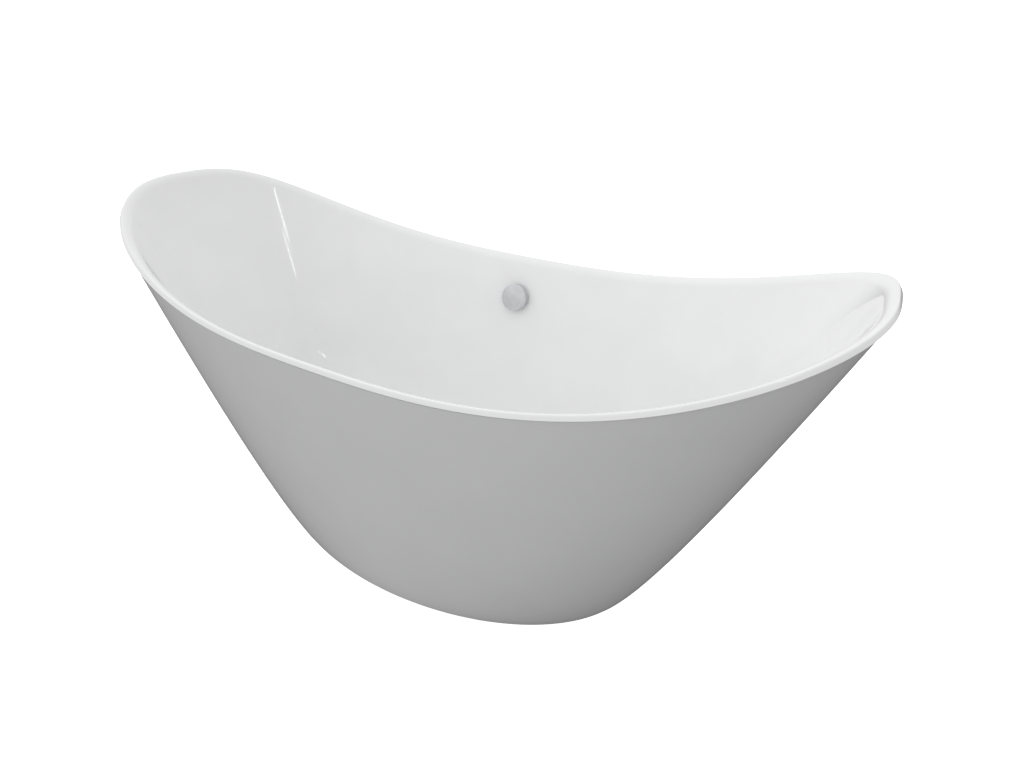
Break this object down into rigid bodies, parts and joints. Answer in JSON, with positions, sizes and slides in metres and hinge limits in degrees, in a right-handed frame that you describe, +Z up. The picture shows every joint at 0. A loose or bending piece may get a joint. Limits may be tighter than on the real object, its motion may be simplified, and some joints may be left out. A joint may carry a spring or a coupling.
{
  "type": "freestanding bathtub",
  "caption": "Freestanding double-ended slipper bathtub in white acrylic, oval tapering skirt, raised ends, round chrome overflow knob that lifts the drain plug.",
  "frame": {"origin": "centre of the footprint, on the floor under the feet", "axes": "+X along the tub's length, +Y across it towards the overflow knob, +Z up"},
  "size_m": [1.7, 0.78, 0.802],
  "materials": {
    "white_acrylic": "glossy sanitary white",
    "white_acrylic_skirt": "glossy sanitary white",
    "birch_plywood": "sealed plywood",
    "galvanised_steel": "hot-dip galvanised, dull",
    "zinc_fasteners": "zinc plated",
    "chrome_plate": "bright chrome",
    "black_rubber": "matt",
    "foot_rubber": "matt",
    "white_plastic": "moulded",
    "grey_hose": "ribbed flexible hose",
    "black_plastic": "moulded",
    "brass_parts": "turned"
  },
  "bodies": {
    "root": {"basin_shell": "white_acrylic", "outer_skirt": "white_acrylic_skirt", "base_board": "birch_plywood", "rail_front": "galvanised_steel", "rail_back": "galvanised_steel", "cross_bar_left": "galvanised_steel", "cross_bar_right": "galvanised_steel", "frame_bolts": "zinc_fasteners", "foot_locknuts": "zinc_fasteners", "drain_flange": "chrome_plate", "flange_seal": "black_rubber", "waste_seal": "black_rubber", "waste_body": "white_plastic", "tailpiece": "white_plastic", "slip_washer": "black_rubber", "slip_nut": "white_plastic", "overflow_flange": "chrome_plate", "front_gasket": "black_rubber", "rear_gasket": "black_rubber", "overflow_body": "white_plastic", "overflow_hose": "grey_hose", "hose_clip_upper": "zinc_fasteners", "hose_clip_lower": "zinc_fasteners", "control_cable": "black_plastic"},
    "knob": {"overflow_knob": "chrome_plate", "knob_screw": "zinc_fasteners", "overflow_spindle": "brass_parts", "cable_drum": "black_plastic"},
    "stopper": {"stopper_cap": "chrome_plate", "stopper_seal": "black_rubber", "stopper_stem": "brass_parts", "lift_rod": "black_plastic"},
    "pad_1": {"foot_pad_1": "foot_rubber"},
    "stud_1": {"foot_stud_1": "zinc_fasteners"},
    "pad_2": {"foot_pad_2": "foot_rubber"},
    "stud_2": {"foot_stud_2": "zinc_fasteners"},
    "pad_3": {"foot_pad_3": "foot_rubber"},
    "stud_3": {"foot_stud_3": "zinc_fasteners"},
    "pad_4": {"foot_pad_4": "foot_rubber"},
    "stud_4": {"foot_stud_4": "zinc_fasteners"}
  },
  "joints": [
    {"name": "knob_turn", "type": "hinge", "parent": "root", "child": "knob", "pos_m": [0, 0.33863, 0.512], "axis": [0, -0.9603, 0.2791], "range_deg": [0, 90]},
    {"name": "stopper_lift", "type": "slide", "parent": "root", "child": "stopper", "axis": [0, 0, 1], "range_m": [0, 0.01]},
    {"name": "foot_1_slide", "type": "slide", "parent": "root", "child": "pad_1", "axis": [0, 0, -1], "range_m": [0, 0.012]},
    {"name": "foot_1_turn", "type": "hinge", "parent": "pad_1", "child": "stud_1", "pos_m": [-0.3, -0.17, 0.05], "axis": [0, 0, 1], "range_deg": [0, 2880]},
    {"name": "foot_2_slide", "type": "slide", "parent": "root", "child": "pad_2", "axis": [0, 0, -1], "range_m": [0, 0.012]},
    {"name": "foot_2_turn", "type": "hinge", "parent": "pad_2", "child": "stud_2", "pos_m": [0.3, -0.17, 0.05], "axis": [0, 0, 1], "range_deg": [0, 2880]},
    {"name": "foot_3_slide", "type": "slide", "parent": "root", "child": "pad_3", "axis": [0, 0, -1], "range_m": [0, 0.012]},
    {"name": "foot_3_turn", "type": "hinge", "parent": "pad_3", "child": "stud_3", "pos_m": [-0.3, 0.17, 0.05], "axis": [0, 0, 1], "range_deg": [0, 2880]},
    {"name": "foot_4_slide", "type": "slide", "parent": "root", "child": "pad_4", "axis": [0, 0, -1], "range_m": [0, 0.012]},
    {"name": "foot_4_turn", "type": "hinge", "parent": "pad_4", "child": "stud_4", "pos_m": [0.3, 0.17, 0.05], "axis": [0, 0, 1], "range_deg": [0, 2880]}
  ],
  "couplings": [
    {"joint": "stopper_lift", "follows": "knob_turn", "m_per_rad": 0.0063661},
    {"joint": "foot_1_turn", "follows": "foot_1_slide", "rad_per_m": 4188.7},
    {"joint": "foot_2_turn", "follows": "foot_2_slide", "rad_per_m": 4188.7},
    {"joint": "foot_3_turn", "follows": "foot_3_slide", "rad_per_m": 4188.7},
    {"joint": "foot_4_turn", "follows": "foot_4_slide", "rad_per_m": 4188.7}
  ]
}
